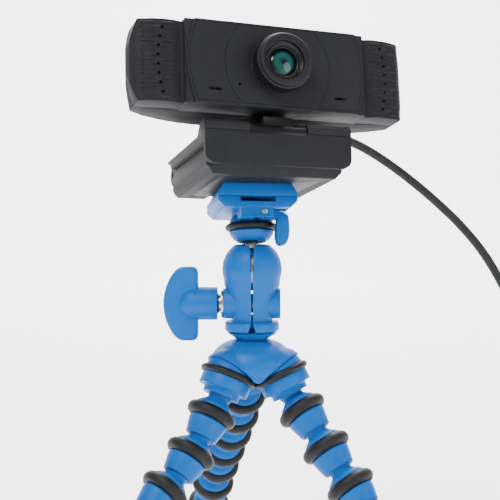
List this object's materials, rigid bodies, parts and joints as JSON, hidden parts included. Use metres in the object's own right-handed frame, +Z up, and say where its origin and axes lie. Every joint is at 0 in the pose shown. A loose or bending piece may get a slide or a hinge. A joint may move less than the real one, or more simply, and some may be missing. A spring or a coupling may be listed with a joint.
{
  "type": "webcam on tripod",
  "caption": "Clip-on webcam with focus ring and USB cable, on a ball head with quick-release plate and three bendable ball-and-socket legs with rubber rings.",
  "frame": {"origin": "on the floor, under the vertical axis of the tripod hub", "axes": "+Z up, +X to the right seen from the front, +Y to the back; the lens looks to -Y, turned a little to +X and up"},
  "size_m": [0.2006, 0.1695, 0.2129],
  "materials": {
    "blue_plastic": "satin",
    "black_rubber": "matte",
    "steel": "brushed",
    "ball_metal": "satin",
    "graphite_plastic": "fine satin texture",
    "gloss_black": "semi-gloss",
    "lens_glass": "coated",
    "board": "solder mask",
    "led": "translucent",
    "brass": "machined",
    "cable_jacket": "matte",
    "plug_metal": "plated"
  },
  "bodies": {
    "tripod_hub": {"base_disc": "blue_plastic", "hub_cap": "blue_plastic", "hub_sockets": "blue_plastic", "hub_bands": "black_rubber", "hub_bolt": "steel"},
    "clamp": {"clamp_left": "blue_plastic", "clamp_right": "blue_plastic", "clamp_bolt": "steel", "clamp_washer": "steel"},
    "knob": {"clamp_knob": "blue_plastic"},
    "ball": {"ball_stem": "ball_metal"},
    "head": {"head_seat": "blue_plastic", "seat_o_ring": "black_rubber", "lever_pin": "steel"},
    "lever": {"qr_lever": "blue_plastic"},
    "plate": {"qr_plate": "blue_plastic", "camera_screw": "steel", "clip_jaw": "graphite_plastic", "jaw_pad": "black_rubber", "tripod_nut": "brass"},
    "clip": {"clip_plate": "graphite_plastic", "hinge_pins": "steel"},
    "turret": {"tilt_turret": "gloss_black"},
    "webcam": {"front_bezel": "graphite_plastic", "face_panel": "graphite_plastic", "rear_shell": "graphite_plastic", "lens_barrel": "gloss_black", "lens_glass": "lens_glass", "main_board": "board", "microphones": "steel", "status_led": "led", "case_screws": "steel", "cable_gland": "cable_jacket", "usb_cable_run": "cable_jacket", "usb_cable_coil": "cable_jacket", "coil_tie": "cable_jacket", "usb_plug_body": "cable_jacket", "usb_plug_shell": "plug_metal"},
    "focus": {"focus_ring": "gloss_black"},
    "left_leg_1": {"left_leg_link_1": "blue_plastic"},
    "left_leg_2": {"left_leg_link_2": "blue_plastic"},
    "left_leg_3": {"left_leg_link_3": "blue_plastic"},
    "left_leg_4": {"left_leg_link_4": "blue_plastic"},
    "left_leg_5": {"left_leg_link_5": "blue_plastic"},
    "left_leg_6": {"left_leg_link_6": "blue_plastic"},
    "left_leg_7": {"left_leg_foot": "blue_plastic"},
    "right_leg_1": {"right_leg_link_1": "blue_plastic"},
    "right_leg_2": {"right_leg_link_2": "blue_plastic"},
    "right_leg_3": {"right_leg_link_3": "blue_plastic"},
    "right_leg_4": {"right_leg_link_4": "blue_plastic"},
    "right_leg_5": {"right_leg_link_5": "blue_plastic"},
    "right_leg_6": {"right_leg_link_6": "blue_plastic"},
    "right_leg_7": {"right_leg_foot": "blue_plastic"},
    "rear_leg_1": {"rear_leg_link_1": "blue_plastic"},
    "rear_leg_2": {"rear_leg_link_2": "blue_plastic"},
    "rear_leg_3": {"rear_leg_link_3": "blue_plastic"},
    "rear_leg_4": {"rear_leg_link_4": "blue_plastic"},
    "rear_leg_5": {"rear_leg_link_5": "blue_plastic"},
    "rear_leg_6": {"rear_leg_link_6": "blue_plastic"},
    "rear_leg_7": {"rear_leg_foot": "blue_plastic"}
  },
  "joints": [
    {"name": "clamp_swivel", "type": "hinge", "parent": "tripod_hub", "child": "clamp", "pos_m": [0, 0, 0.0985], "axis": [0, 0, 1], "continuous": true},
    {"name": "knob_turn", "type": "hinge", "parent": "clamp", "child": "knob", "pos_m": [-0.0127, 0, 0.1118], "axis": [1, 0, 0], "range_deg": [0, 180]},
    {"name": "ball_tilt", "type": "hinge", "parent": "clamp", "child": "ball", "pos_m": [0, 0, 0.1245], "axis": [-1, 0, 0], "range_deg": [-23, 1.5]},
    {"name": "head_spin", "type": "hinge", "parent": "ball", "child": "head", "pos_m": [0, 0, 0.1245], "axis": [-0.0171, 0.1994, 0.9798], "continuous": true},
    {"name": "qr_slide", "type": "slide", "parent": "head", "child": "plate", "axis": [0.1702, -0.965, 0.1993], "range_m": [0, 0.01]},
    {"name": "lever_turn", "type": "hinge", "parent": "head", "child": "lever", "pos_m": [0.00383, -0.00476, 0.14534], "axis": [0.1702, -0.965, 0.1993], "range_deg": [0, 35]},
    {"name": "clip_open", "type": "hinge", "parent": "plate", "child": "clip", "pos_m": [-0.00645, 0.0252, 0.15763], "axis": [-0.952, -0.3028, 0.045], "range_deg": [0, 70]},
    {"name": "cam_tilt", "type": "hinge", "parent": "clip", "child": "turret", "pos_m": [0.00836, -0.01908, 0.17303], "axis": [-0.952, -0.3028, 0.045], "range_deg": [-55, 8]},
    {"name": "cam_pan", "type": "hinge", "parent": "turret", "child": "webcam", "pos_m": [0.00562, -0.01078, 0.17089], "axis": [-0.0304, 0.2398, 0.9703], "continuous": true, "deforming": ["usb_cable_run", "usb_cable_coil", "coil_tie", "usb_plug_body", "usb_plug_shell"]},
    {"name": "focus_turn", "type": "hinge", "parent": "webcam", "child": "focus", "pos_m": [0.00909, -0.01642, 0.19672], "axis": [0.3377, -0.9113, 0.2358], "range_deg": [-150, 150]},
    {"name": "left_leg_joint_1", "type": "hinge", "parent": "tripod_hub", "child": "left_leg_1", "pos_m": [-0.01111, -0.00932, 0.08], "axis": [0.6691, -0.7431, 0], "range_deg": [-15, 15]},
    {"name": "left_leg_joint_2", "type": "hinge", "parent": "left_leg_1", "child": "left_leg_2", "pos_m": [-0.01776, -0.01531, 0.06674], "axis": [-0.552, -0.5147, 0.6561], "range_deg": [-15, 15]},
    {"name": "left_leg_joint_3", "type": "hinge", "parent": "left_leg_2", "child": "left_leg_3", "pos_m": [-0.02543, -0.02247, 0.05466], "axis": [0.6561, -0.7547, 0], "range_deg": [-8, 15]},
    {"name": "left_leg_joint_4", "type": "hinge", "parent": "left_leg_3", "child": "left_leg_4", "pos_m": [-0.03468, -0.03051, 0.04437], "axis": [-0.4503, -0.3778, 0.809], "range_deg": [-15, 15]},
    {"name": "left_leg_joint_5", "type": "hinge", "parent": "left_leg_4", "child": "left_leg_5", "pos_m": [-0.0446, -0.03883, 0.03497], "axis": [0.6428, -0.766, 0], "range_deg": [-15, 15]},
    {"name": "left_leg_joint_6", "type": "hinge", "parent": "left_leg_5", "child": "left_leg_6", "pos_m": [-0.05452, -0.04715, 0.02557], "axis": [-0.4341, -0.3643, 0.8239], "range_deg": [-15, 15]},
    {"name": "left_leg_joint_7", "type": "hinge", "parent": "left_leg_6", "child": "left_leg_7", "pos_m": [-0.06461, -0.05562, 0.0165], "axis": [0.6428, -0.766, 0], "range_deg": [-15, 5]},
    {"name": "right_leg_joint_1", "type": "hinge", "parent": "tripod_hub", "child": "right_leg_1", "pos_m": [0.01363, -0.00496, 0.08], "axis": [0.5736, 0.8192, 0], "range_deg": [-8, 15]},
    {"name": "right_leg_joint_2", "type": "hinge", "parent": "right_leg_1", "child": "right_leg_2", "pos_m": [0.02222, -0.01098, 0.06792], "axis": [0.6037, -0.4716, 0.6428], "range_deg": [-15, 15]},
    {"name": "right_leg_joint_3", "type": "hinge", "parent": "right_leg_2", "child": "right_leg_3", "pos_m": [0.03033, -0.01731, 0.05567], "axis": [0.6293, 0.7771, 0], "range_deg": [-15, 15]},
    {"name": "right_leg_joint_4", "type": "hinge", "parent": "right_leg_3", "child": "right_leg_4", "pos_m": [0.03865, -0.02405, 0.04378], "axis": [0.4891, -0.396, 0.7771], "range_deg": [-15, 15]},
    {"name": "right_leg_joint_5", "type": "hinge", "parent": "right_leg_4", "child": "right_leg_5", "pos_m": [0.04831, -0.03188, 0.03371], "axis": [0.6293, 0.7771, 0], "range_deg": [-15, 15]},
    {"name": "right_leg_joint_6", "type": "hinge", "parent": "right_leg_5", "child": "right_leg_6", "pos_m": [0.0585, -0.04012, 0.02453], "axis": [0.4072, -0.3297, 0.8517], "range_deg": [-15, 15]},
    {"name": "right_leg_joint_7", "type": "hinge", "parent": "right_leg_6", "child": "right_leg_7", "pos_m": [0.06909, -0.0487, 0.01615], "axis": [0.6293, 0.7771, 0], "range_deg": [-15, 5]},
    {"name": "rear_leg_joint_1", "type": "hinge", "parent": "tripod_hub", "child": "rear_leg_1", "pos_m": [-0.00252, 0.01428, 0.08], "axis": [-0.9816, -0.1908, 0], "range_deg": [0, 15]},
    {"name": "rear_leg_joint_2", "type": "hinge", "parent": "rear_leg_1", "child": "rear_leg_2", "pos_m": [-0.00486, 0.02631, 0.06971], "axis": [-0.128, 0.6022, 0.788], "range_deg": [-15, 15]},
    {"name": "rear_leg_joint_3", "type": "hinge", "parent": "rear_leg_2", "child": "rear_leg_3", "pos_m": [-0.00748, 0.03864, 0.05987], "axis": [-0.9744, -0.225, 0], "range_deg": [-15, 15]},
    {"name": "rear_leg_joint_4", "type": "hinge", "parent": "rear_leg_3", "child": "rear_leg_4", "pos_m": [-0.01031, 0.05093, 0.05001], "axis": [-0.1385, 0.5999, 0.788], "range_deg": [-15, 15]},
    {"name": "rear_leg_joint_5", "type": "hinge", "parent": "rear_leg_4", "child": "rear_leg_5", "pos_m": [-0.01315, 0.06321, 0.04016], "axis": [-0.9744, -0.225, 0], "range_deg": [-15, 15]},
    {"name": "rear_leg_joint_6", "type": "hinge", "parent": "rear_leg_5", "child": "rear_leg_6", "pos_m": [-0.01591, 0.07516, 0.02988], "axis": [-0.168, 0.7279, 0.6648], "range_deg": [-15, 15]},
    {"name": "rear_leg_joint_7", "type": "hinge", "parent": "rear_leg_6", "child": "rear_leg_7", "pos_m": [-0.0183, 0.08552, 0.01793], "axis": [-0.9744, -0.225, 0], "range_deg": [-15, 15]}
  ]
}
